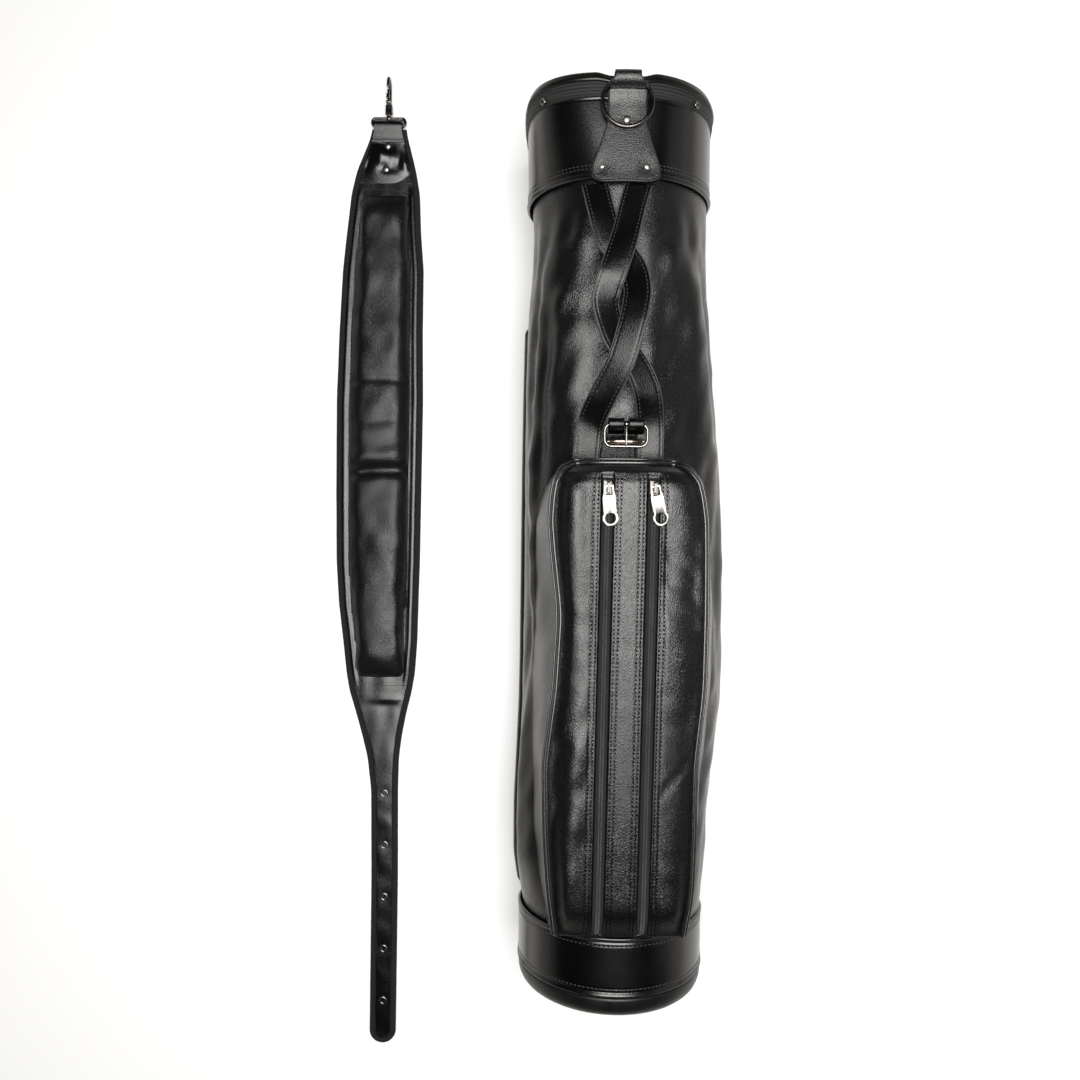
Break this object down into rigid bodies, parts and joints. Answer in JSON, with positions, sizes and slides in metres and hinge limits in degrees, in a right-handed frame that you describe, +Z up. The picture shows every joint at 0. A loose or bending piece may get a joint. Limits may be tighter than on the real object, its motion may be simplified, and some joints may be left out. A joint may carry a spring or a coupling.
{
  "type": "golf bag",
  "caption": "Round leather golf carry bag on its back, with a stiff collar, twisted handle, zipped ball pocket and carry ring, and its padded shoulder strap beside it.",
  "frame": {"origin": "on the floor, under the middle of the box that holds the bag and its strap", "axes": "+Z up from the floor, +Y along the bag from its foot to its mouth, +X to the bag's right as it lies on its back"},
  "size_m": [0.4277, 1.1069, 0.2355],
  "materials": {
    "soft_leather": "fine pebble grain, soft satin sheen",
    "board_leather": "smooth leather over board, satin sheen",
    "edge_leather": "folded leather edge with a burnished line",
    "pad_leather": "soft padded leather, satin",
    "binding_tape": "folded matt binding tape",
    "zip_tape": "woven tape with a nylon coil",
    "lining": "short brushed lining",
    "moulded_black": "moulded black plastic, fine texture",
    "nickel": "polished nickel, slightly warm",
    "gunmetal": "dark polished gunmetal"
  },
  "bodies": {
    "bag": {"body_shell": "soft_leather", "collar": "board_leather", "rim_band": "edge_leather", "rim_bead": "moulded_black", "ring_tab": "soft_leather", "tab_rivet_top": "gunmetal", "tab_rivet_left": "gunmetal", "tab_rivet_right": "gunmetal", "club_divider": "lining", "divider_screw_front_right": "nickel", "divider_screw_back_right": "nickel", "divider_screw_back_left": "nickel", "divider_screw_front_left": "nickel", "base_cuff": "board_leather", "foot_cup": "moulded_black", "foot_board": "lining", "spine_stay": "moulded_black", "zip_tape_left": "zip_tape", "zip_chain_left": "zip_tape", "zip_tape_right": "zip_tape", "zip_chain_right": "zip_tape", "pocket_shell": "soft_leather", "pocket_piping": "edge_leather", "handle_strap_right": "soft_leather", "handle_strap_left": "soft_leather", "buckle_chape": "soft_leather", "buckle_loop_left": "soft_leather", "buckle_loop_right": "soft_leather", "side_pocket": "soft_leather"},
    "carry_ring": {"carry_ring": "gunmetal"},
    "buckle_frame": {"buckle_frame": "nickel"},
    "buckle_roller": {"buckle_roller": "nickel"},
    "buckle_prong": {"buckle_prong": "nickel"},
    "zip_slider_left": {"zip_slider_left": "gunmetal"},
    "zip_pull_left": {"zip_pull_left": "nickel"},
    "zip_slider_right": {"zip_slider_right": "gunmetal"},
    "zip_pull_right": {"zip_pull_right": "nickel"},
    "shoulder_strap": {"strap_sheet": "soft_leather", "strap_binding": "binding_tape", "strap_pad": "pad_leather", "strap_eyelet_1": "nickel", "strap_eyelet_2": "nickel", "strap_eyelet_3": "nickel", "strap_eyelet_4": "nickel", "strap_eyelet_5": "nickel", "strap_neck": "soft_leather", "strap_rivet_upper": "gunmetal", "strap_rivet_lower": "gunmetal"},
    "strap_loop": {"strap_loop": "gunmetal"},
    "swivel_eye": {"swivel_eye": "gunmetal"},
    "snap_hook": {"snap_hook": "gunmetal"},
    "hook_gate": {"hook_gate": "gunmetal"}
  },
  "joints": [
    {"name": "ring_swing", "type": "hinge", "parent": "bag", "child": "carry_ring", "pos_m": [0.0984, 0.46, 0.1964], "axis": [-1, 0, 0], "range_deg": [0, 100]},
    {"name": "buckle_frame_swing", "type": "hinge", "parent": "bag", "child": "buckle_frame", "pos_m": [0.1012, 0.1365, 0.194], "axis": [-1, 0, 0], "range_deg": [0, 100]},
    {"name": "buckle_prong_swing", "type": "hinge", "parent": "buckle_frame", "child": "buckle_prong", "pos_m": [0.1012, 0.1365, 0.194], "axis": [-1, 0, 0], "range_deg": [0, 60]},
    {"name": "buckle_roller_spin", "type": "hinge", "parent": "buckle_frame", "child": "buckle_roller", "pos_m": [0.1012, 0.12036, 0.19259], "axis": [1, 0, 0], "continuous": true},
    {"name": "zip_left_slide", "type": "slide", "parent": "bag", "child": "zip_slider_left", "axis": [-0.0072, -0.9983, -0.0575], "range_m": [0, 0.395]},
    {"name": "zip_left_pull_swing", "type": "hinge", "parent": "zip_slider_left", "child": "zip_pull_left", "pos_m": [0.08246, 0.07606, 0.23267], "axis": [-0.9968, -0.0798, -0.005], "range_deg": [0, 140]},
    {"name": "zip_right_slide", "type": "slide", "parent": "bag", "child": "zip_slider_right", "axis": [-0.0062, -0.9983, -0.0575], "range_m": [0, 0.395]},
    {"name": "zip_right_pull_swing", "type": "hinge", "parent": "zip_slider_right", "child": "zip_pull_right", "pos_m": [0.12396, 0.07606, 0.23267], "axis": [-0.9776, -0.21, -0.0124], "range_deg": [0, 140]},
    {"name": "strap_lift", "type": "slide", "parent": "bag", "child": "shoulder_strap", "axis": [0, 0, 1], "range_m": [0, 0.2]},
    {"name": "strap_loop_swing", "type": "hinge", "parent": "shoulder_strap", "child": "strap_loop", "pos_m": [-0.157, 0.4985, 0.009], "axis": [1, 0, 0], "range_deg": [0, 100]},
    {"name": "swivel_eye_swing", "type": "hinge", "parent": "strap_loop", "child": "swivel_eye", "pos_m": [-0.157, 0.5065, 0.009], "axis": [1, 0, 0], "range_deg": [0, 60]},
    {"name": "snap_hook_swivel", "type": "hinge", "parent": "swivel_eye", "child": "snap_hook", "pos_m": [-0.157, 0.515, 0.009], "axis": [0, 1, 0], "continuous": true},
    {"name": "hook_gate_swing", "type": "hinge", "parent": "snap_hook", "child": "hook_gate", "pos_m": [-0.157, 0.5237, 0.0136], "axis": [-1, 0, 0], "range_deg": [0, 22], "stiffness_Nm_per_rad": 0.02, "springref_deg": -8.59}
  ]
}
